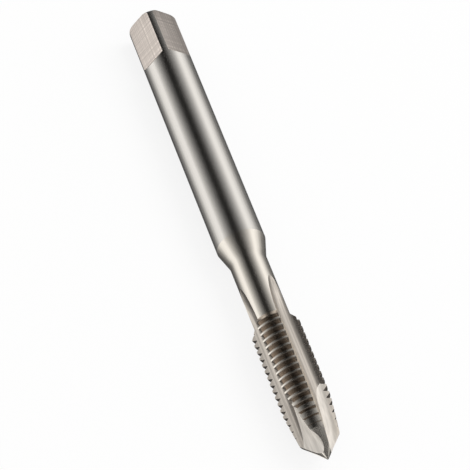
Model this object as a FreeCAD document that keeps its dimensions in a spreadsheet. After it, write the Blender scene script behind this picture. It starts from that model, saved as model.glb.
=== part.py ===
import FreeCAD, Part
import math
import os
import re
import Sketcher

V = FreeCAD.Vector

# A machine tap with a reduced neck, three straight flutes and a spiral point.
# It is drawn along its own Z axis, from the drive end at zero up to the point.
# Its placement lays it on the floor, with the point along +X. It rests on its
# shank and on one land of its thread.
DIMS = [
    ("shank_dia", 8.0, "ground shank"),
    ("shank_length", 48.3, "drive end to the neck cone"),
    ("neck_dia", 6.0, "reduced neck"),
    ("neck_cone_length", 3.5, "cone between shank and neck"),
    ("neck_length", 12.0, "neck, between the two cones"),
    ("drive_edge_radius", 0.75, "rounded edge of the drive end"),
    ("square_across_flats", 6.3, "driving square"),
    ("square_length", 9.25, "driving flats, without their runout"),
    ("square_runout_deg", 40.0, "slope of the runout into the shank"),
    ("square_turn_deg", 67.0, "turn of the first flat about the axis"),
    ("centre_dia", 3.35, "mouth of the centre hole"),
    ("centre_angle_deg", 60.0, "cone of the centre hole"),
    ("pilot_dia", 1.6, "pilot of the centre hole"),
    ("pilot_depth", 3.5, "end face to the bottom of the pilot"),
    ("thread_dia", 8.0, "thread over its crests"),
    ("thread_pitch", 1.25, "coarse thread, right hand"),
    ("thread_length", 24.84, "back end of the full thread to the tip"),
    ("thread_back_cone", 1.36, "length of the cone behind the thread"),
    ("thread_depth", 0.77, "crest to root"),
    ("crest_flat", 0.156, "width of a crest"),
    ("flank_angle_deg", 60.0, "angle between two flanks"),
    ("thread_turn_deg", -49.3, "turn of the thread about the axis"),
    ("lead_length", 6.3, "tapered lead in front of the full thread"),
    ("lead_small_dia", 6.46, "small end of the lead"),
    ("point_length", 4.0, "male centre in front of the lead"),
    ("point_flat_dia", 0.24, "flat on the very tip"),
    ("core_dia", 4.2, "web left between the flutes"),
    ("flute_radius", 2.1, "hollow of a flute"),
    ("flute_offset", 0.08, "hollow of a flute beside its middle, towards the cutting edge"),
    ("flute_open_deg", 45.4, "slope of its side away from the cutting edge"),
    ("flute_turn_deg", -22.3, "turn of the first flute about the axis"),
    ("cutting_edge_deg", 30.7, "middle of a flute to its cutting edge"),
    ("rake_deg", 8.0, "hook of the cutting face"),
    ("flute_length", 24.9, "flute at its full depth, from the tip"),
    ("flute_wheel_radius", 40.0, "wheel that leaves the flute's runout"),
    ("gun_length", 12.9, "start of the spiral point, from the tip"),
    ("gun_radius", 1.26, "hollow of the spiral point"),
    ("gun_face", 0.19, "straight part of its cutting face at the start"),
    ("gun_lean_deg", 3.4, "lean of the spiral point under the cutting edge"),
    ("gun_sink_deg", 10.9, "lean of the spiral point towards the axis"),
    ("gun_open_deg", 49.0, "slope of its side away from the cutting edge"),
    ("reach", 3.0, "how far cutting profiles reach past the blank"),
]
FLUTE_COUNT = 3
FLAT_COUNT = 4

doc = FreeCAD.newDocument("thread_tap")
sheet = doc.addObject("Spreadsheet::Sheet", "dims")
names = []
for row, (alias, size, note) in enumerate(DIMS, start=1):
    sheet.set("A%d" % row, str(size))
    sheet.set("B%d" % row, note)
    sheet.setAlias("A%d" % row, alias)
    names.append(alias)
doc.recompute()

tap = doc.addObject("PartDesign::Body", "tap")
tap.Label = "tap"


def formula(text):
    """Write the sheet's name in front of each of its aliases."""
    return re.sub(r"[a-z_]+", lambda word: "dims." * (word[0] in names) + word[0], text)


def number(text):
    """What a formula comes to now, as a first guess for a sketch."""
    result = sheet.evalExpression(formula(text))
    return float(getattr(result, "Value", result))


def bind(item, path, text):
    item.setExpression(path, formula(text))


def new_sketch(name, role, at="0", yaw="0", pitch="0", roll="0"):
    """A sketch on one of the body's planes, moved and turned by formulas."""
    sketch = tap.newObject("Sketcher::SketchObject", name)
    support = next(f for f in tap.Origin.OriginFeatures if f.Role == role)
    sketch.AttachmentSupport = [(support, "")]
    sketch.MapMode = "FlatFace"
    bind(sketch, "AttachmentOffset",
         "placement(vector(0; 0; %s); rotation(%s; %s; %s))" % (at, yaw, pitch, roll))
    doc.recompute()
    return sketch


def dimension(sketch, kind, refs, text):
    """A driving dimension of a sketch, tied to the sheet."""
    index = sketch.addConstraint(Sketcher.Constraint(kind, *refs, number(text)))
    bind(sketch, "Constraints[%d]" % index, text)


def place(sketch, edge, end, across, along):
    """Hold a point of a sketch at two formulas; 0 puts it on an axis."""
    for kind, text, axis in (("DistanceX", across, -2), ("DistanceY", along, -1)):
        if text == "0":
            sketch.addConstraint(Sketcher.Constraint("PointOnObject", edge, end, axis))
        else:
            dimension(sketch, kind, (-1, 1, edge, end), text)


def closed_outline(sketch, corners):
    """Straight lines from corner to corner and back to the first."""
    ends = [V(number(x), number(y), 0) for x, y in corners]
    first = sketch.GeometryCount
    total = len(corners)
    for k in range(total):
        sketch.addGeometry(Part.LineSegment(ends[k], ends[(k + 1) % total]), False)
    for k, (across, along) in enumerate(corners):
        sketch.addConstraint(Sketcher.Constraint(
            "Coincident", first + (k - 1) % total, 2, first + k, 1))
        place(sketch, first + k, 1, across, along)


def feature(kind, name, profile, **settings):
    item = tap.newObject("PartDesign::" + kind, name)
    item.Profile = profile
    for key, value in settings.items():
        setattr(item, key, value)
    return item


def volume_after(item):
    """Recompute, and return the body's volume once this feature is on it."""
    tap.Tip = item
    doc.recompute()
    return item.Shape.Volume


def pattern(name, originals, count):
    """Repeat features evenly round the tap's axis."""
    item = tap.newObject("PartDesign::PolarPattern", name)
    item.Originals = originals
    item.Axis = (next(f for f in tap.Origin.OriginFeatures if f.Role == "Z_Axis"), [""])
    item.Angle = 360
    item.Occurrences = count
    tap.Tip = item
    doc.recompute()
    return item


# The turned blank: drive end, shank, neck, thread over its crests, lead, point.
THREAD_START = "shank_length + neck_cone_length + neck_length + thread_back_cone"
TIP = "(" + THREAD_START + " + thread_length)"
blank_outline = new_sketch("blank_outline", "XZ_Plane")
closed_outline(blank_outline, [
    ("0", "0"),
    ("shank_dia / 2", "0"),
    ("shank_dia / 2", "shank_length"),
    ("neck_dia / 2", "shank_length + neck_cone_length"),
    ("neck_dia / 2", "shank_length + neck_cone_length + neck_length"),
    ("thread_dia / 2", THREAD_START),
    ("thread_dia / 2", TIP + " - point_length - lead_length"),
    ("lead_small_dia / 2", TIP + " - point_length"),
    ("point_flat_dia / 2", TIP),
    ("0", TIP),
])
blank = feature("Revolution", "blank", blank_outline, Angle=360.0,
                ReferenceAxis=(blank_outline, ["V_Axis"]))
volumes = [("blank", volume_after(blank))]
rim = next("Edge%d" % k for k, edge in enumerate(blank.Shape.Edges, start=1)
           if edge.BoundBox.ZLength < 0.001 and abs(edge.CenterOfMass.z) < 0.001)
rounding = tap.newObject("PartDesign::Fillet", "rounding")
rounding.Base = (blank, [rim])
bind(rounding, "Radius", "drive_edge_radius")
volumes.append(("rounding", volume_after(rounding)))

# The driving square: one flat with its sloping runout, then the other three.
flat_outline = new_sketch("flat_outline", "XZ_Plane", pitch="square_turn_deg")
FLAT = "square_across_flats / 2"
OUTSIDE = "(shank_dia / 2 + reach)"
closed_outline(flat_outline, [
    (FLAT, "-1 * reach"),
    (FLAT, "square_length"),
    (OUTSIDE, "square_length + (shank_dia / 2 + reach - " + FLAT + ") "
              "/ tan(square_runout_deg * 1 deg)"),
    (OUTSIDE, "-1 * reach"),
])
flat = feature("Pocket", "flat", flat_outline, Type="Length", SideType="Symmetric")
bind(flat, "Length", "shank_dia * 2")
square = pattern("square", [flat], FLAT_COUNT)
volumes.append(("square", volume_after(square)))

# The centre hole in the drive end.
centre_outline = new_sketch("centre_outline", "XZ_Plane")
CONE_TURN = "/ tan(centre_angle_deg / 2 * 1 deg)"
closed_outline(centre_outline, [
    ("0", "-1 * reach"),
    ("centre_dia / 2", "-1 * reach"),
    ("centre_dia / 2", "0"),
    ("pilot_dia / 2", "(centre_dia - pilot_dia) / 2 " + CONE_TURN),
    ("pilot_dia / 2", "pilot_depth"),
    ("0", "pilot_depth + pilot_dia / 2 " + CONE_TURN),
])
centre_hole = feature("Groove", "centre_hole", centre_outline, Angle=360.0,
                      ReferenceAxis=(centre_outline, ["V_Axis"]))
volumes.append(("centre_hole", volume_after(centre_hole)))


def ground_section(sketch, centre, radius, edge, open_deg):
    """The section of a ground groove, its cutting face below and its other side above.

    The hollow has its centre and radius. Both sides leave it in a tangent. The
    cutting face goes on past the cutting edge, and the other side at its slope.
    """
    cx, cy = centre
    far = "(thread_dia / 2 + reach)"
    hook = "(cutting_edge_deg - rake_deg) * 1 deg"
    face_y = "(%s) - (thread_dia / 2 + reach - %s) * tan(%s)" % (edge[1], edge[0], hook)
    side_y = ("%s + %s * cos(%s * 1 deg) + (%s - %s + %s * sin(%s * 1 deg)) * tan(%s * 1 deg)"
              % (cy, radius, open_deg, far, cx, radius, open_deg, open_deg))
    middle = V(number(cx), number(cy), 0)
    r = number(radius)
    bottom = V(number(far), number(face_y), 0)
    top = V(number(far), number(side_y), 0)
    arc = Part.ArcOfCircle(Part.Circle(middle, V(0, 0, 1), r),
                           math.radians(90 + number(open_deg)), math.radians(245))
    sketch.addGeometry(arc, False)
    sketch.addGeometry(Part.LineSegment(arc.EndPoint, bottom), False)
    sketch.addGeometry(Part.LineSegment(bottom, top), False)
    sketch.addGeometry(Part.LineSegment(top, arc.StartPoint), False)
    add = sketch.addConstraint
    place(sketch, 0, 3, cx, cy)
    dimension(sketch, "Radius", (0,), radius)
    add(Sketcher.Constraint("Coincident", 1, 2, 2, 1))
    add(Sketcher.Constraint("Coincident", 2, 2, 3, 1))
    add(Sketcher.Constraint("Tangent", 3, 2, 0, 1))
    place(sketch, 2, 1, far, face_y)
    place(sketch, 2, 2, far, side_y)
    add(Sketcher.Constraint("Tangent", 0, 2, 1, 1))
    doc.recompute()


def add_wheel_axis(sketch, distance):
    """A construction line across the groove, for a wheel that lifts out of it."""
    axis = sketch.GeometryCount
    x = number(distance)
    sketch.addGeometry(Part.LineSegment(V(x, -1, 0), V(x, 1, 0)), True)
    place(sketch, axis, 1, distance, "-1 * reach")
    place(sketch, axis, 2, distance, "reach")
    doc.recompute()


# A flute: straight at its full depth, then the wheel's arc out through the neck.
EDGE = ("thread_dia / 2 * cos(cutting_edge_deg * 1 deg)",
        "-1 * thread_dia / 2 * sin(cutting_edge_deg * 1 deg)")
FLUTE_CENTRE = ("(core_dia / 2 + flute_radius)", "-1 * flute_offset")
parts_of_flute = []
for name in ("flute", "flute_runout"):
    section = new_sketch(name + "_outline", "XY_Plane",
                         at=TIP + " - flute_length", yaw="flute_turn_deg")
    ground_section(section, FLUTE_CENTRE, "flute_radius", EDGE, "flute_open_deg")
    if name == "flute":
        cut = feature("Pocket", name, section, Type="Length", Reversed=True)
        bind(cut, "Length", "flute_length + reach")
    else:
        add_wheel_axis(section, "core_dia / 2 + flute_wheel_radius")
        cut = feature("Groove", name, section, Angle=25.0, Reversed=True,
                      ReferenceAxis=(section, ["Axis0"]))
    volumes.append((name, volume_after(cut)))
    parts_of_flute.append(cut)
flutes = pattern("flutes", parts_of_flute, FLUTE_COUNT)
volumes.append(("flutes", volume_after(flutes)))

# The spiral point: a second groove in each flute that leans under the cutting
# edge and towards the axis, so that it throws the chips forward.
HOOK = "((cutting_edge_deg - rake_deg) * 1 deg)"
GUN_CENTRE = (
    "(" + EDGE[0] + " - gun_face * cos" + HOOK + " + gun_radius * sin" + HOOK + ")",
    "(" + EDGE[1] + " + gun_face * sin" + HOOK + " + gun_radius * cos" + HOOK + ")")
gun_outline = new_sketch("gun_outline", "XY_Plane", at=TIP + " - gun_length",
                         yaw="flute_turn_deg", pitch="-1 * gun_sink_deg", roll="gun_lean_deg")
ground_section(gun_outline, GUN_CENTRE, "gun_radius", EDGE, "gun_open_deg")
gun = feature("Pocket", "gun", gun_outline, Type="Length", Reversed=True)
bind(gun, "Length", "gun_length + 2 * reach")
volumes.append(("gun", volume_after(gun)))
gun_nose = pattern("gun_nose", [gun], FLUTE_COUNT)
volumes.append(("gun_nose", volume_after(gun_nose)))

# The helical groove leaves the crests standing. It fades out in the cone
# behind the thread and in the lead.
groove_outline = new_sketch("groove_outline", "XZ_Plane", pitch="thread_turn_deg")
SLOPE = "tan(flank_angle_deg / 2 * 1 deg)"
START = "(" + THREAD_START + " - thread_back_cone - thread_pitch)"
MOUTH = "(thread_pitch / 2 - crest_flat / 4)"
BOTTOM = "((thread_pitch - crest_flat) / 2 - thread_depth * " + SLOPE + ")"
CREST = "(thread_dia / 2 + crest_flat / 4 / " + SLOPE + ")"
ROOT = "(thread_dia / 2 - thread_depth)"
closed_outline(groove_outline, [
    (CREST, START + " - " + MOUTH),
    (CREST, START + " + " + MOUTH),
    (ROOT, START + " + " + BOTTOM),
    (ROOT, START + " - " + BOTTOM),
])
thread = feature("SubtractiveHelix", "thread", groove_outline,
                 ReferenceAxis=(groove_outline, ["V_Axis"]), Mode=0)
bind(thread, "Pitch", "thread_pitch")
bind(thread, "Height", "thread_length + thread_back_cone - point_length + 1.5 * thread_pitch")
volumes.append(("thread", volume_after(thread)))

# Lying down: the axis along +X, the middle of the length over the origin.
tap.Placement = FreeCAD.Placement(V(0, 0, 0), FreeCAD.Rotation(V(0, 0, 1), V(0, -1, 0), V(1, 0, 0), "ZYX"))
bind(tap, "Placement.Base.x", "-1 * " + TIP + " / 2")
bind(tap, "Placement.Base.z", "shank_dia / 2")
doc.recompute()

for item in doc.Objects:
    if "Invalid" in item.State or "Error" in item.State:
        raise RuntimeError("%s failed: %s" % (item.Name, item.State))
for (before, big), (after, small) in zip(volumes, volumes[1:]):
    if small > big - 0.01:
        raise RuntimeError("%s cut nothing: %.2f to %.2f mm3" % (after, big, small))
if tap.Shape.isNull() or not tap.Shape.isValid() or len(tap.Shape.Solids) != 1:
    raise RuntimeError("the tap is not one valid solid")
for name, amount in volumes:
    print("%-14s %9.2f mm3" % (name, amount))

os.makedirs("parts", exist_ok=True)
tap.Shape.exportStep("parts/tap.step")
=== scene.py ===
"""Looks of a machine tap with straight flutes and a spiral point, and its studio."""

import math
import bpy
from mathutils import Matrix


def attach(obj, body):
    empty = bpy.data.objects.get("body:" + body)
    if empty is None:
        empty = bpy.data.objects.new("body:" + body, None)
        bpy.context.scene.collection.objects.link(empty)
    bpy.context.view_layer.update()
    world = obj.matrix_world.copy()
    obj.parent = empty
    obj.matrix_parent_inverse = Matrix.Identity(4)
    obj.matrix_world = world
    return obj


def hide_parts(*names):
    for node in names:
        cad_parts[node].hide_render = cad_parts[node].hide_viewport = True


bl_info = {
    "name": "Machine Tap",
    "version": (1, 0, 0),
    "blender": (4, 5, 0),
    "location": "3D View > Sidebar > Machine Tap",
    "description": "A machine tap cut from its turned blank, and the studio it lies in",
    "category": "Add Mesh",
}

import bmesh
import bpy
from bpy.props import FloatProperty, FloatVectorProperty, PointerProperty
from mathutils import Matrix, Vector

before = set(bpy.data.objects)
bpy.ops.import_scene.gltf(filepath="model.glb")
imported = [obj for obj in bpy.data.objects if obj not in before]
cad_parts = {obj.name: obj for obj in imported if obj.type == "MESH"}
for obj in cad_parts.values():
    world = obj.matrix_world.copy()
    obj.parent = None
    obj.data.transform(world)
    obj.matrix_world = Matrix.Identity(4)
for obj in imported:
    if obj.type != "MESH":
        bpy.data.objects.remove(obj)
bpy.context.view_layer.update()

MM = 0.001
TAP_NODE = "tap"
FLUTES = 3
FLATS = 4

ROUND = 288                        # facets round the turned blank and in a turn of thread
HOLLOW = 20                        # facets across a ground hollow
EDGE_STEPS = 10                    # facets across the rounding of the drive end
WHEEL_STEPS = 40                   # facets along the runout of a flute
HOLE_ROUND = 96                    # facets round the centre hole
WHEEL_ARC = math.radians(25)       # enough of the wheel's arc to leave the neck
FLANK_SLOPE = math.tan(math.radians(30))    # of a flank in the 60 degree thread
CENTRE_SLOPE = math.tan(math.radians(30))   # of the wall in the 60 degree centre hole
OVERRUN = 3 * MM                   # how far a cutter stands out of the steel
SUPPORT = 0.6 * MM                 # rings that keep the shading crisp beside an edge
DRILL_END = 0.02                   # end of the pilot's cone, as a share of the pilot
SAME_PLACE = 0.001 * MM
MERGED = 0.0001 * MM
SMOOTH = math.radians(20)

X_AXIS = Vector((1, 0, 0))
Y_AXIS = Vector((0, 1, 0))
UP = Vector((0, 0, 1))


def length(name, description, millimetres):
    return FloatProperty(name=name, description=description, default=millimetres * MM,
                         min=0.0, precision=5, subtype="DISTANCE", unit="LENGTH")


def angle(name, description, degrees):
    return FloatProperty(name=name, description=description,
                         default=math.radians(degrees), subtype="ANGLE", unit="ROTATION")


def share(name, description, value):
    return FloatProperty(name=name, description=description, default=value,
                         min=0.0, max=1.0, subtype="FACTOR")


def colour(name, description, red, green, blue):
    return FloatVectorProperty(name=name, description=description, size=3, min=0.0, max=1.0,
                               default=(red, green, blue), subtype="COLOR")


class TapSizes(bpy.types.PropertyGroup):
    """Sizes of the tap, measured along its axis from the drive end."""
    shank_radius: length("Shank radius", "Ground shank", 4.0)
    shank_length: length("Shank length", "Drive end to the neck cone", 48.3)
    drive_edge: length("Drive edge", "Rounding of the drive end", 0.75)
    neck_radius: length("Neck radius", "Reduced neck", 3.0)
    neck_cone: length("Neck cone", "Cone between shank and neck", 3.5)
    neck_length: length("Neck length", "Neck between its two cones", 12.0)
    flat_distance: length("Flat distance", "Axis to a flat of the square", 3.15)
    flat_length: length("Flat length", "Driving flat without its runout", 9.25)
    flat_runout: angle("Flat runout", "Slope of a flat's runout", 40.0)
    square_turn: angle("Square turn", "Turn of the first flat", 67.0)
    centre_radius: length("Centre radius", "Mouth of the centre hole", 1.675)
    pilot_radius: length("Pilot radius", "Pilot of the centre hole", 0.8)
    pilot_depth: length("Pilot depth", "Bottom of the pilot", 3.5)
    pitch: length("Pitch", "Advance of the thread in one turn", 1.25)
    thread_length: length("Thread length", "Full thread's back end to the tip", 24.84)
    back_cone: length("Back cone", "Cone behind the thread", 1.36)
    thread_depth: length("Thread depth", "Crest to root", 0.77)
    crest_width: length("Crest width", "Flat on a crest", 0.30)
    thread_turn: angle("Thread turn", "Turn of the thread", -49.3)
    lead_length: length("Lead length", "Tapered lead", 6.3)
    lead_radius: length("Lead radius", "Small end of the lead", 3.23)
    point_length: length("Point length", "Male centre on the tip", 4.0)
    point_radius: length("Point radius", "Flat on the very tip", 0.12)


class FluteSizes(bpy.types.PropertyGroup):
    """Sizes of the flutes and of the spiral point."""
    core_radius: length("Core radius", "Axis to the bottom of a flute", 2.1)
    hollow: length("Hollow", "Radius of a flute's hollow", 2.1)
    offset: length("Offset", "Hollow beside the middle of its flute", 0.08)
    open_slope: angle("Open slope", "Side away from the cutting edge", 45.4)
    turn: angle("Turn", "Turn of the first flute", -22.3)
    edge: angle("Edge", "Middle of a flute to its cutting edge", 30.7)
    rake: angle("Rake", "Hook of the cutting face", 8.0)
    length: length("Length", "Flute at its full depth, from the tip", 24.9)
    wheel: length("Wheel", "Wheel that leaves the runout", 40.0)
    gun_length: length("Point start", "Start of the spiral point, from the tip", 12.9)
    gun_hollow: length("Point hollow", "Hollow of the spiral point", 1.26)
    gun_face: length("Point face", "Straight part of its cutting face", 0.19)
    gun_lean: angle("Point lean", "Lean under the cutting edge", 3.4)
    gun_sink: angle("Point sink", "Lean towards the axis", 10.9)
    gun_slope: angle("Point slope", "Side away from the cutting edge", 49.0)


class TapFinish(bpy.types.PropertyGroup):
    """Colours and polish of the steel."""
    steel: colour("Steel", "Ground shank", 0.815, 0.78, 0.73)
    bright: colour("Bright steel", "Neck and crests", 0.94, 0.88, 0.79)
    milled: colour("Milled", "Flats of the square", 0.95, 0.85, 0.77)
    fluted: colour("Fluted", "Ground flutes", 0.94, 0.86, 0.765)
    point: colour("Point", "Spiral point, ground last", 0.97, 0.91, 0.83)
    # The thread is much darker than the rest of the steel: painted shade for the grooves between the
    # crests.
    cut: colour("Thread", "Flanks of the thread", 0.55, 0.475, 0.405)
    shank_rough: share("Shank roughness", "Ground shank and neck", 0.19)
    flute_rough: share("Flute roughness", "Ground flutes", 0.36)
    point_rough: share("Point roughness", "Spiral point", 0.48)
    thread_rough: share("Thread roughness", "Flanks of the thread", 0.20)
    flat_rough: share("Flat roughness", "Milled flats", 0.28)
    point_metal: share("Point metal", "How much of the point mirrors, the rest is matt", 0.25)
    lines: share("Grinding lines", "How much darker the lines of the grinding are", 0.36)


class StageLook(bpy.types.PropertyGroup):
    """The studio round the tap."""
    floor: colour("Floor", "Pale floor", 0.95, 0.95, 0.945)
    card: colour("Card", "Dark cards that the steel reflects", 0.004, 0.0035, 0.003)
    fill: FloatProperty(name="Fill", description="Light from all round", default=0.68, min=0.0)
    lamp: FloatProperty(name="Lamp", description="Power of the soft lamp", default=10.0,
                        min=0.0, subtype="POWER")
    floor_glow: share("Floor glow", "White of the floor that no shadow reaches", 0.85)


# Helpers for work by hand in edit mode.

def deselect_all():
    if bpy.context.object and bpy.context.object.mode != "OBJECT":
        bpy.ops.object.mode_set(mode="OBJECT")
    bpy.ops.object.select_all(action="DESELECT")


def edit(piece, kind="FACE"):
    """Open a piece in edit mode with nothing selected."""
    deselect_all()
    bpy.context.view_layer.objects.active = piece
    piece.select_set(True)
    bpy.ops.object.mode_set(mode="EDIT")
    bpy.ops.mesh.select_mode(type=kind)
    bpy.ops.mesh.select_all(action="DESELECT")


def pick(piece, kind, test):
    """Select the vertices, edges or faces that pass a test, and nothing else."""
    mesh = bmesh.from_edit_mesh(piece.data)
    found = 0
    bpy.ops.mesh.select_all(action="DESELECT")
    for item in getattr(mesh, kind):
        if test(item):
            item.select = True
            found += 1
    mesh.select_flush_mode()
    bmesh.update_edit_mesh(piece.data)
    if not found:
        raise RuntimeError("nothing to select on %s" % piece.name)


def close_edit():
    bpy.ops.object.mode_set(mode="OBJECT")


def pull_out(piece, steps, height):
    """Carry the top face up in steps of (rise, new radius over old), from a height."""
    edit(piece)
    pick(piece, "faces", lambda face: face.normal.z > 0.9)
    for rise, factor in steps:
        height += rise
        bpy.ops.mesh.extrude_region_move(TRANSFORM_OT_translate={"value": (0, 0, rise)})
        if factor != 1.0:
            bpy.ops.transform.resize(value=(factor, factor, 1), center_override=(0, 0, height))
    close_edit()


def rings_to_steps(rings, start, radius):
    """Turn rings of (height, radius) into the steps of pull_out."""
    steps = []
    for height, wide in rings:
        steps.append((height - start, wide / radius))
        start, radius = height, wide
    return steps


def finish_with(piece, material):
    piece.data.materials.clear()
    piece.data.materials.append(material)


def cut_away(piece, cutter):
    """Take a cutter's shape out of a piece; the new faces get the cutter's finish."""
    deselect_all()
    bpy.context.view_layer.objects.active = piece
    piece.select_set(True)
    before = len(piece.data.polygons)
    cut = piece.modifiers.new("cut", "BOOLEAN")
    cut.operation = "DIFFERENCE"
    cut.solver = "MANIFOLD"
    cut.material_mode = "TRANSFER"
    cut.object = cutter
    bpy.ops.object.modifier_apply(modifier=cut.name)
    if len(piece.data.polygons) == before:
        raise RuntimeError("%s cut nothing" % cutter.name)


def throw_away(piece):
    deselect_all()
    mesh = piece.data
    bpy.data.objects.remove(piece)
    bpy.data.meshes.remove(mesh)


def cut_round(piece, cutter, count=1, turn=0.0):
    """Cut at equal turns about the axis, starting from a turn, then drop the cutter."""
    for k in range(count):
        cutter.rotation_euler.z = turn + math.tau * k / count
        cut_away(piece, cutter)
    throw_away(cutter)


def outward(piece):
    edit(piece)
    bpy.ops.mesh.select_all(action="SELECT")
    bpy.ops.mesh.remove_doubles(threshold=MERGED)
    bpy.ops.mesh.normals_make_consistent(inside=False)
    close_edit()


def tip_height(s):
    return s.shank_length + s.neck_cone + s.neck_length + s.back_cone + s.thread_length


# Finishes. The tap's axis is the X axis of Object coordinates, so a noise that is fine
# along X and wide across it makes rings, and the other way round it makes lines along the tap.

RINGS = (9000, 60, 60)
LINES = (60, 7000, 7000)
BROAD_RINGS = (4800, 40, 40)
BROAD_LINES = (40, 4800, 4800)
FLUTE_LINES = (30, 2400, 2400)
MARK_DEPTH = 0.01 * MM
DARK_NOISE, LIGHT_NOISE = 0.35, 0.65   # noise at which a ground line is darkest and lightest
POINT_LINES = 0.6                      # strength of the lines on the point, beside the flutes'


def new_finish(name, base, rough, metallic=1.0):
    material = bpy.data.materials.new(name)
    material.use_nodes = True
    shader = material.node_tree.nodes["Principled BSDF"]
    shader.inputs["Base Color"].default_value = (*base, 1)
    shader.inputs["Metallic"].default_value = metallic
    shader.inputs["Roughness"].default_value = rough
    return material


def calculate(tree, operation, first, second=0.0):
    """A Math node on an output and an output or number."""
    node = tree.nodes.new("ShaderNodeMath")
    node.operation = operation
    node.use_clamp = operation == "MULTIPLY"
    for socket, source in zip(node.inputs, (first, second)):
        if isinstance(source, (int, float)):
            socket.default_value = source
        else:
            tree.links.new(source, socket)
    return node.outputs["Value"]


def mix_shaders(tree, part, first, second, output="Material Output"):
    """Send two shaders to the output: the first where part is 0, the second where it is 1."""
    mix = tree.nodes.new("ShaderNodeMixShader")
    tree.links.new(part, mix.inputs["Fac"])
    tree.links.new(first, mix.inputs[1])
    tree.links.new(second, mix.inputs[2])
    tree.links.new(mix.outputs["Shader"], tree.nodes[output].inputs["Surface"])


def stretched_noise(tree, scale, detail, rough):
    """Noise that is stretched into lines by its scale in X, Y and Z."""
    place = tree.nodes.new("ShaderNodeTexCoord")
    stretch = tree.nodes.new("ShaderNodeMapping")
    stretch.inputs["Scale"].default_value = scale
    noise = tree.nodes.new("ShaderNodeTexNoise")
    noise.inputs["Scale"].default_value = 1.0
    noise.inputs["Detail"].default_value = detail
    noise.inputs["Roughness"].default_value = rough
    tree.links.new(place.outputs["Object"], stretch.inputs["Vector"])
    tree.links.new(stretch.outputs["Vector"], noise.inputs["Vector"])
    return noise.outputs["Fac"]


def streaks(material, scale, strength):
    """Fine marks of the wheel or the tool, as a bump."""
    tree = material.node_tree
    bump = tree.nodes.new("ShaderNodeBump")
    bump.inputs["Strength"].default_value = strength
    bump.inputs["Distance"].default_value = MARK_DEPTH
    tree.links.new(stretched_noise(tree, scale, detail=3.0, rough=0.6), bump.inputs["Height"])
    tree.links.new(bump.outputs["Normal"], tree.nodes["Principled BSDF"].inputs["Normal"])


def grinding_lines(material, base, darker, *scales):
    """Darker lines in the base colour, one set for each scale in X, Y and Z."""
    tree = material.node_tree
    part = None
    for scale in scales:
        spread = tree.nodes.new("ShaderNodeMapRange")
        spread.inputs["From Min"].default_value = DARK_NOISE
        spread.inputs["From Max"].default_value = LIGHT_NOISE
        noise = stretched_noise(tree, scale, detail=1.0, rough=0.5)
        tree.links.new(noise, spread.inputs["Value"])
        part = (calculate(tree, "MULTIPLY", part, spread.outputs["Result"])
                if part else spread.outputs["Result"])
    # A colour Mix node has its factor in input 0, its colours in 6 and 7, its result in output 2.
    mix = tree.nodes.new("ShaderNodeMix")
    mix.data_type = "RGBA"
    mix.inputs[6].default_value = (*[value * (1 - darker) for value in base], 1)
    mix.inputs[7].default_value = (*base, 1)
    tree.links.new(part, mix.inputs[0])
    tree.links.new(mix.outputs[2], tree.nodes["Principled BSDF"].inputs["Base Color"])


def make_finishes(f):
    finishes = {
        "ground": new_finish("ground_shank", f.steel, f.shank_rough),
        "bright": new_finish("ground_neck", f.bright, f.shank_rough),
        "milled": new_finish("milled_flat", f.milled, f.flat_rough),
        "fluted": new_finish("ground_flute", f.fluted, f.flute_rough),
        "point": new_finish("ground_point", f.point, f.point_rough, f.point_metal),
        # The thread's darker colour is painted shade in its grooves.
        "thread": new_finish("ground_thread", f.cut, f.thread_rough),
        "hole": new_finish("drilled_centre", f.milled, f.flat_rough),
    }
    marks = {"ground": (RINGS, 0.10), "bright": (RINGS, 0.10), "milled": (RINGS, 0.35),
             "fluted": (LINES, 0.30), "point": (LINES, 0.30), "thread": (RINGS, 0.10),
             "hole": (RINGS, 0.15)}
    for name, (scale, strength) in marks.items():
        streaks(finishes[name], scale, strength)
    grinding_lines(finishes["milled"], f.milled, f.lines, BROAD_RINGS, BROAD_LINES)
    grinding_lines(finishes["fluted"], f.fluted, f.lines, FLUTE_LINES)
    grinding_lines(finishes["point"], f.point, f.lines * POINT_LINES, FLUTE_LINES)
    return finishes


# The pieces of work on the tap, upright, with its drive end at height zero.

def turned_blank(s, looks):
    """The round tap, bright from the neck on but for the cone behind the thread, which gets the
    thread's darker colour as painted shade.
    """
    bpy.ops.mesh.primitive_cylinder_add(
        vertices=ROUND, radius=s.shank_radius, depth=s.shank_length / 2,
        location=(0, 0, s.shank_length / 4))
    blank = bpy.context.object
    blank.name = "tap_body"
    bpy.ops.object.transform_apply(location=True)
    cone_end = s.shank_length + s.neck_cone
    neck_end = cone_end + s.neck_length
    tip = tip_height(s)
    slope = (s.shank_radius - s.neck_radius) / s.neck_cone
    pull_out(blank, rings_to_steps([
        (s.shank_length - SUPPORT, s.shank_radius),
        (s.shank_length, s.shank_radius),
        (s.shank_length + SUPPORT, s.shank_radius - slope * SUPPORT),
        (cone_end - SUPPORT, s.neck_radius + slope * SUPPORT),
        (cone_end, s.neck_radius),
        (cone_end + SUPPORT, s.neck_radius),
        (neck_end, s.neck_radius),
        (neck_end + s.back_cone, s.shank_radius),
        (tip - s.point_length - s.lead_length, s.shank_radius),
        (tip - s.point_length, s.lead_radius),
        (tip, s.point_radius),
    ], s.shank_length / 2, s.shank_radius), s.shank_length / 2)
    edit(blank, "EDGE")
    pick(blank, "edges", lambda edge: all(v.co.z < SAME_PLACE for v in edge.verts))
    bpy.ops.mesh.bevel(offset=s.drive_edge, segments=EDGE_STEPS, affect="EDGES")
    close_edit()
    finish_with(blank, looks["ground"])
    # The cone behind the thread gets the thread's darker colour: painted shade.
    bands = ((s.shank_length, tip, "bright"), (neck_end, neck_end + s.back_cone, "thread"))
    for index, (low, high, look) in enumerate(bands):
        blank.data.materials.append(looks[look])
        for face in blank.data.polygons:
            if low < face.center.z < high:
                face.material_index = index + 1
    return blank


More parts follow.
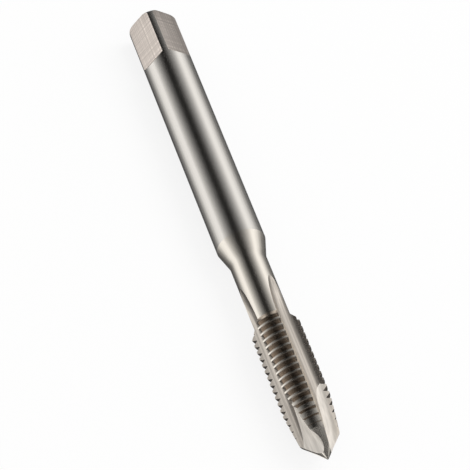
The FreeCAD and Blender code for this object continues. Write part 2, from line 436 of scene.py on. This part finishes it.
def thread_groove(s, finish):
    """The helical groove between the crests, with a 60 degree profile."""
    # From a pitch behind the thread's back cone to half a pitch past the lead.
    start = s.shank_length + s.neck_cone + s.neck_length - s.pitch
    rise = tip_height(s) - s.point_length + s.pitch / 2 - start
    turns = rise / s.pitch
    # Half the groove's width a little outside the crests, and at its root.
    mouth = s.pitch / 2 - s.crest_width / 4
    bottom = (s.pitch - s.crest_width) / 2 - s.thread_depth * FLANK_SLOPE
    crest = s.shank_radius + s.crest_width / 4 / FLANK_SLOPE
    root = s.shank_radius - s.thread_depth
    middle = (crest + root) / 2
    bpy.ops.mesh.primitive_plane_add(size=2 * mouth, rotation=(math.pi / 2, 0, 0),
                                     location=(middle, 0, start))
    groove = bpy.context.object
    groove.name = "thread_groove"
    bpy.ops.object.transform_apply(location=True, rotation=True)
    edit(groove, "VERT")
    pick(groove, "verts", lambda v: v.co.x > middle)
    bpy.ops.transform.translate(value=(crest - middle - mouth, 0, 0))
    pick(groove, "verts", lambda v: v.co.x < middle)
    bpy.ops.transform.translate(value=(root - middle + mouth, 0, 0))
    bpy.ops.transform.resize(value=(1, 1, bottom / mouth), center_override=(root, 0, start))
    close_edit()
    winding = groove.modifiers.new("winding", "SCREW")
    winding.axis = "Z"
    winding.angle = turns * math.tau
    winding.screw_offset = rise
    winding.steps = winding.render_steps = round(turns * ROUND)
    winding.use_merge_vertices = False
    bpy.ops.object.modifier_apply(modifier=winding.name)
    edit(groove, "EDGE")
    bpy.ops.mesh.select_all(action="SELECT")
    bpy.ops.mesh.fill_holes(sides=0)
    close_edit()
    outward(groove)
    finish_with(groove, finish)
    return groove


def ground_section(name, centre, radius, edge, hook, slope, far):
    """The section of a ground groove: its hollow, its cutting face and its open side."""
    start = math.pi / 2 + slope
    end = 1.5 * math.pi - hook
    bpy.ops.mesh.primitive_plane_add(size=radius)
    section = bpy.context.object
    section.name = name
    first = Vector((centre[0] + radius * math.cos(start), centre[1] + radius * math.sin(start), 0))
    last = Vector((centre[0] + radius * math.cos(end), centre[1] + radius * math.sin(end), 0))
    edit(section, "VERT")
    bpy.ops.mesh.select_all(action="SELECT")
    bpy.ops.mesh.merge(type="CENTER")
    bpy.ops.transform.translate(value=first)
    bpy.ops.mesh.spin(steps=HOLLOW, angle=start - end, center=(*centre, 0), axis=(0, 0, 1))
    pick(section, "verts", lambda v: (v.co - last).length < SAME_PLACE)
    run = far - last.x
    bpy.ops.mesh.extrude_region_move(
        TRANSFORM_OT_translate={"value": (run, -run * math.tan(hook), 0)})
    pick(section, "verts", lambda v: (v.co - first).length < SAME_PLACE)
    run = far - first.x
    bpy.ops.mesh.extrude_region_move(
        TRANSFORM_OT_translate={"value": (run, run * math.tan(slope), 0)})
    bpy.ops.mesh.select_all(action="SELECT")
    bpy.ops.mesh.edge_face_add()
    bpy.ops.mesh.normals_make_consistent(inside=False)
    close_edit()
    return section


def flute_cutter(s, g, finish):
    """One flute: straight at its full depth, then the wheel's arc out through the neck."""
    far = s.shank_radius + OVERRUN
    cutter = ground_section("flute_cutter", (g.core_radius + g.hollow, -g.offset), g.hollow,
                            g.edge, g.edge - g.rake, g.open_slope, far)
    edit(cutter)
    bpy.ops.mesh.select_all(action="SELECT")
    bpy.ops.mesh.spin(steps=WHEEL_STEPS, angle=WHEEL_ARC, axis=(0, 1, 0),
                      center=(g.core_radius + g.wheel, 0, 0))
    pick(cutter, "faces", lambda face: all(abs(v.co.z) < SAME_PLACE for v in face.verts))
    bpy.ops.mesh.extrude_region_move(
        TRANSFORM_OT_translate={"value": (0, 0, g.length + OVERRUN)})
    close_edit()
    outward(cutter)
    cutter.location.z = tip_height(s) - g.length
    finish_with(cutter, finish)
    return cutter


def point_cutter(s, g, finish):
    """The groove that leans under a cutting edge and towards the axis."""
    hook = g.edge - g.rake
    corner = (s.shank_radius * math.cos(g.edge), -s.shank_radius * math.sin(g.edge))
    centre = (corner[0] - g.gun_face * math.cos(hook) + g.gun_hollow * math.sin(hook),
              corner[1] + g.gun_face * math.sin(hook) + g.gun_hollow * math.cos(hook))
    cutter = ground_section("point_cutter", centre, g.gun_hollow, g.edge, hook, g.gun_slope,
                            s.shank_radius + OVERRUN)
    edit(cutter)
    bpy.ops.mesh.select_all(action="SELECT")
    bpy.ops.mesh.extrude_region_move(
        TRANSFORM_OT_translate={"value": (0, 0, g.gun_length + 2 * OVERRUN)})
    close_edit()
    outward(cutter)
    finish_with(cutter, finish)
    return cutter


def grind_points(piece, s, g, finish):
    """Cut the leaning groove of the spiral point at the end of every flute."""
    cutter = point_cutter(s, g, finish)
    lift = Matrix.Translation((0, 0, tip_height(s) - g.gun_length))
    lean = Matrix.Rotation(-g.gun_sink, 4, "Y") @ Matrix.Rotation(g.gun_lean, 4, "X")
    for k in range(FLUTES):
        turn = Matrix.Rotation(g.turn + math.tau * k / FLUTES, 4, "Z")
        cutter.matrix_world = lift @ turn @ lean
        cut_away(piece, cutter)
    throw_away(cutter)


def flat_cutter(s, finish):
    """The box above one flat of the square, with the sloping runout at its end."""
    outside = s.shank_radius + OVERRUN
    bpy.ops.mesh.primitive_cube_add(size=1, location=(
        (s.flat_distance + outside) / 2, 0, (s.flat_length - OVERRUN) / 2))
    cutter = bpy.context.object
    cutter.name = "flat_cutter"
    cutter.scale = (outside - s.flat_distance, 4 * s.shank_radius, s.flat_length + OVERRUN)
    bpy.ops.object.transform_apply(location=True, scale=True)
    edit(cutter, "VERT")
    pick(cutter, "verts", lambda v: v.co.z > 0 and v.co.x > s.shank_radius)
    bpy.ops.transform.translate(
        value=(0, 0, (outside - s.flat_distance) / math.tan(s.flat_runout)))
    close_edit()
    finish_with(cutter, finish)
    return cutter


def centre_cutter(s, finish):
    """The 60 degree centre hole with its pilot."""
    bpy.ops.mesh.primitive_cylinder_add(
        vertices=HOLE_ROUND, radius=s.centre_radius, depth=OVERRUN, location=(0, 0, -OVERRUN / 2))
    cutter = bpy.context.object
    cutter.name = "centre_cutter"
    bpy.ops.object.transform_apply(location=True)
    pull_out(cutter, rings_to_steps([
        ((s.centre_radius - s.pilot_radius) / CENTRE_SLOPE, s.pilot_radius),
        (s.pilot_depth, s.pilot_radius),
        (s.pilot_depth + s.pilot_radius * (1 - DRILL_END) / CENTRE_SLOPE, s.pilot_radius * DRILL_END),
    ], 0, s.centre_radius), 0)
    finish_with(cutter, finish)
    return cutter


def mark_borders(piece):
    """Keep the edges between two finishes sharp."""
    edit(piece, "EDGE")
    pick(piece, "edges", lambda edge: len(edge.link_faces) == 2 and
         edge.link_faces[0].material_index != edge.link_faces[1].material_index)
    bpy.ops.mesh.mark_sharp()
    close_edit()


def lay_down(piece, s):
    """Turn the upright tap so that its point looks along X, and rest it on the floor."""
    turned = Matrix(((0, 0, 1), (0, -1, 0), (1, 0, 0))).to_4x4()
    piece.matrix_world = Matrix.Translation((-tip_height(s) / 2, 0, s.shank_radius)) @ turned
    deselect_all()
    bpy.context.view_layer.objects.active = piece
    piece.select_set(True)
    bpy.ops.object.transform_apply(location=True, rotation=True, scale=True)


class TAP_OT_body(bpy.types.Operator):
    """Turn the blank and cut the thread, the flutes, the point and the square"""
    bl_idname = "tap.body"
    bl_label = "Tap"

    def execute(self, context):
        s, g = context.scene.tap_sizes, context.scene.flute_sizes
        looks = make_finishes(context.scene.tap_finish)
        deselect_all()
        body = turned_blank(s, looks)
        cut_round(body, thread_groove(s, looks["thread"]), turn=s.thread_turn)
        cut_round(body, flute_cutter(s, g, looks["fluted"]), FLUTES, g.turn)
        grind_points(body, s, g, looks["point"])
        cut_round(body, flat_cutter(s, looks["milled"]), FLATS, s.square_turn)
        cut_round(body, centre_cutter(s, looks["hole"]))
        mark_borders(body)
        lay_down(body, s)
        bpy.ops.object.shade_smooth_by_angle(angle=SMOOTH, keep_sharp_edges=True)
        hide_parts(TAP_NODE)
        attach(body, "root")
        return {"FINISHED"}


# The studio. The camera looks down on the lying tap, square to the photograph.

TAP_TURN = math.radians(16.6)      # how far the tap is turned about its axis
CAMERA_SIDE = math.radians(72.112) # where the camera stands before it is turned with the tap
CAMERA_RISE = math.radians(52.61)
CAMERA_AWAY = 0.4545
CAMERA_LENS = 222.0
SENSOR_WIDTH = 36.0
NEAREST = 0.01
AIM = Vector((0.96 * MM, 0, 4 * MM))
AIM_PIXEL = (236.58, 234.2)        # where the photograph shows that place
FRAME_SIZE = 470.0
AXIS_MIDDLE = Vector((0, 0, 4 * MM))
FLOOR_SIZE = 6.0
LAMP_SIZE = 1.0
LAMP_AWAY = 1.5
LAMP_SIDE = Vector((-0.25, 0.55, 0.80)).normalized()

OVER_AWAY = 0.2                    # the card over the camera, from the axis
OVER_WIDTH = 1.2
OVER_START, OVER_END = -2.0, 0.1   # its ends along X
CLEAR_ANGLE = math.radians(65)     # where it has faded away on each side, seen from the tap
CLEAR_POWER = 1.9

# Dark cards close to the tap, in millimetres: the middle, the side that faces the tap, the
# direction and the length of the run, the width, and steps of (place across, clearness).
# The cards that face up lie on the floor, and the others stand on it.
CARDS = {
    # card_in_front is a painted shadow: seen only in the steel, it darkens the floor beside the tap
    # where the tap's own shade lies, most next to the tap.
    "card_in_front": ((0, -11, 0.1), UP, X_AXIS, 400, 20,
                      ((0.0, 1.0), (0.46, 0.88), (0.64, 0.55), (0.75, 0.25), (0.85, 0.1))),
    "card_behind_low": ((0, 6.5, 0.1), UP, X_AXIS, 400, 11, ((0.0, 0.05), (1.0, 0.1))),
    "card_behind": ((0, 12, 9.2), -Y_AXIS, X_AXIS, 400, 18,
                    ((0.0, 0.08), (0.36, 0.2), (0.55, 0.48), (0.74, 0.8), (1.0, 1.0))),
    "card_at_drive_end": ((-60, 0, 15.1), X_AXIS, Y_AXIS, 36, 30,
                          ((0.0, 0.1), (0.45, 0.3), (0.8, 1.0))),
    "card_before_drive_end": ((-57, -6, 0.2), UP, X_AXIS, 18, 13, ((0.0, 0.5), (1.0, 0.2))),
    "card_at_tip": ((75, 5, 25.1), -X_AXIS, Y_AXIS, 80, 50,
                    ((0.0, 0.03), (0.35, 0.1), (0.75, 0.22), (1.0, 0.5))),
    "card_before_tip": ((48, -10.5, 0.2), UP, X_AXIS, 40, 6,
                        ((0.0, 0.3), (0.3, 0.05), (1.0, 0.1))),
}


def camera_axes():
    """Right, up and back of the camera."""
    back = Vector((math.sin(CAMERA_SIDE) * math.cos(CAMERA_RISE),
                   -math.cos(CAMERA_SIDE) * math.cos(CAMERA_RISE), math.sin(CAMERA_RISE)))
    right = Vector((math.cos(CAMERA_SIDE), math.sin(CAMERA_SIDE), 0))
    roll = Matrix.Rotation(TAP_TURN, 3, "X")
    return roll @ right, roll @ back.cross(right), roll @ back


def add_camera(scene):
    right, up, back = camera_axes()
    bpy.ops.object.camera_add()
    camera = bpy.context.object
    camera.name = "photo_camera"
    camera.matrix_world = Matrix.Translation(AIM + back * CAMERA_AWAY) @ Matrix(
        (right, up, back)).transposed().to_4x4()
    camera.data.lens = CAMERA_LENS
    camera.data.sensor_width = SENSOR_WIDTH
    camera.data.clip_start = NEAREST
    camera.data.shift_x = -(AIM_PIXEL[0] - FRAME_SIZE / 2) / FRAME_SIZE
    camera.data.shift_y = (AIM_PIXEL[1] - FRAME_SIZE / 2) / FRAME_SIZE
    scene.camera = camera


def toward_camera():
    """The direction across the tap's axis that looks to the camera."""
    back = camera_axes()[2]
    return Vector((0, back.y, back.z)).normalized()


def graded(material, clear):
    """Let a dark card grade away: clear is an output that is 1 where nothing is left of it."""
    tree = material.node_tree
    open_air = tree.nodes.new("ShaderNodeBsdfTransparent")
    mix_shaders(tree, clear, tree.nodes["Principled BSDF"].outputs["BSDF"],
                open_air.outputs["BSDF"])


def across_card(tree):
    """An output that runs from -0.5 to 0.5 across a card."""
    place = tree.nodes.new("ShaderNodeTexCoord")
    split = tree.nodes.new("ShaderNodeSeparateXYZ")
    tree.links.new(place.outputs["Object"], split.inputs["Vector"])
    return split.outputs["Y"]


def add_card(name, middle, faces, along, run, width, finish):
    """A card by the tap that only the steel sees."""
    bpy.ops.mesh.primitive_plane_add(size=1)
    card = bpy.context.object
    card.name = name
    card.matrix_world = Matrix.Translation(middle) @ Matrix(
        (along * run, faces.cross(along) * width, faces)).transposed().to_4x4()
    finish_with(card, finish)
    card.visible_camera = card.visible_diffuse = card.visible_shadow = False


def card_over_camera(look):
    """Wide card in front of the camera, dark in its middle and clear at CLEAR_ANGLE."""
    dark = new_finish("card_over_camera", look.card, 1.0, metallic=0.0)
    tree = dark.node_tree
    offset = calculate(tree, "ABSOLUTE", across_card(tree))
    angle = calculate(tree, "ARCTANGENT", calculate(tree, "DIVIDE", offset, OVER_AWAY / OVER_WIDTH))
    part = calculate(tree, "MULTIPLY", angle, 1 / CLEAR_ANGLE)
    graded(dark, calculate(tree, "POWER", part, CLEAR_POWER))
    near = toward_camera()
    middle = AXIS_MIDDLE + near * OVER_AWAY + X_AXIS * (OVER_START + OVER_END) / 2
    add_card("card_over_camera", middle, -near, X_AXIS, OVER_END - OVER_START, OVER_WIDTH, dark)


def edge_card(look, name, middle, faces, along, run, width, stops):
    """Card by the tap for a dark edge, graded by steps of (place across, clearness)."""
    dark = new_finish(name, look.card, 1.0, metallic=0.0)
    tree = dark.node_tree
    ramp = tree.nodes.new("ShaderNodeValToRGB")
    tree.links.new(calculate(tree, "ADD", across_card(tree), 0.5), ramp.inputs["Fac"])
    ramp.color_ramp.interpolation = "EASE"
    marks = ramp.color_ramp.elements
    for index, (part, clear) in enumerate(stops):
        mark = marks[index] if index < 2 else marks.new(part)
        mark.position = part
        mark.color = (clear, clear, clear, 1)
    graded(dark, ramp.outputs["Color"])
    add_card(name, Vector(middle) * MM, faces, along, run * MM, width * MM, dark)


def seen_directly(tree):
    """1 for a ray that comes from the camera, a gloss or a glass."""
    path = tree.nodes.new("ShaderNodeLightPath")
    sight = path.outputs["Is Camera Ray"]
    for kind in ("Is Glossy Ray", "Is Transmission Ray"):
        sight = calculate(tree, "MAXIMUM", sight, path.outputs[kind])
    return sight


def add_floor(look):
    """Pale floor that glows a little where it is seen."""
    bpy.ops.mesh.primitive_plane_add(size=FLOOR_SIZE)
    floor = bpy.context.object
    floor.name = "floor"
    finish = new_finish("pale_floor", look.floor, 1.0, metallic=0.0)
    tree = finish.node_tree
    shader = tree.nodes["Principled BSDF"]
    shader.inputs["Specular IOR Level"].default_value = 0.0
    glow = tree.nodes.new("ShaderNodeEmission")
    glow.inputs["Color"].default_value = (1, 1, 1, 1)
    glow.inputs["Strength"].default_value = 1.0
    part = calculate(tree, "MULTIPLY", seen_directly(tree), look.floor_glow)
    mix_shaders(tree, part, shader.outputs["BSDF"], glow.outputs["Emission"])
    finish_with(floor, finish)


def add_world(scene, look):
    """Plain light from all round, and a white backdrop where it is seen."""
    world = bpy.data.worlds.new("studio")
    scene.world = world
    world.use_nodes = True
    tree = world.node_tree
    fill = tree.nodes["Background"]
    fill.inputs["Color"].default_value = (1, 1, 1, 1)
    fill.inputs["Strength"].default_value = look.fill
    white = tree.nodes.new("ShaderNodeBackground")
    white.inputs["Color"].default_value = (1, 1, 1, 1)
    white.inputs["Strength"].default_value = 1.0
    mix_shaders(tree, seen_directly(tree), fill.outputs["Background"],
                white.outputs["Background"], "World Output")


def add_lamp(look):
    bpy.ops.object.light_add(type="AREA")
    lamp = bpy.context.object
    lamp.name = "soft_lamp"
    lamp.data.shape = "RECTANGLE"
    lamp.data.size = lamp.data.size_y = LAMP_SIZE
    lamp.data.energy = look.lamp
    lamp.location = AXIS_MIDDLE + LAMP_SIDE * LAMP_AWAY
    lamp.rotation_euler = LAMP_SIDE.to_track_quat("Z", "Y").to_euler()
    lamp.visible_glossy = False


class TAP_OT_studio(bpy.types.Operator):
    """Floor, backdrop, soft light and camera"""
    bl_idname = "tap.studio"
    bl_label = "Studio"

    def execute(self, context):
        look = context.scene.stage_look
        deselect_all()
        add_floor(look)
        card_over_camera(look)
        for name, (middle, faces, along, run, width, stops) in CARDS.items():
            edge_card(look, name, middle, faces, along, run, width, stops)
        add_lamp(look)
        add_world(context.scene, look)
        add_camera(context.scene)
        context.scene.view_settings.view_transform = "Standard"
        return {"FINISHED"}


class TAP_PT_panel(bpy.types.Panel):
    """Machine tap"""
    bl_label = "Machine Tap"
    bl_idname = "TAP_PT_panel"
    bl_space_type = "VIEW_3D"
    bl_region_type = "UI"
    bl_category = "Machine Tap"

    def draw(self, context):
        layout = self.layout
        scene = context.scene
        for group in (scene.tap_sizes, scene.flute_sizes, scene.tap_finish, scene.stage_look):
            box = layout.box()
            for name in group.__annotations__:
                box.prop(group, name)
        layout.operator("tap.body")
        layout.operator("tap.studio")


GROUPS = {"tap_sizes": TapSizes, "flute_sizes": FluteSizes, "tap_finish": TapFinish,
          "stage_look": StageLook}
CLASSES = (*GROUPS.values(), TAP_OT_body, TAP_OT_studio, TAP_PT_panel)


def register():
    for cls in CLASSES:
        bpy.utils.register_class(cls)
    for name, group in GROUPS.items():
        setattr(bpy.types.Scene, name, PointerProperty(type=group))


def unregister():
    for name in GROUPS:
        delattr(bpy.types.Scene, name)
    for cls in reversed(CLASSES):
        bpy.utils.unregister_class(cls)


def main():
    register()
    bpy.ops.tap.body()
    bpy.ops.tap.studio()


if __name__ == "__main__":
    main()
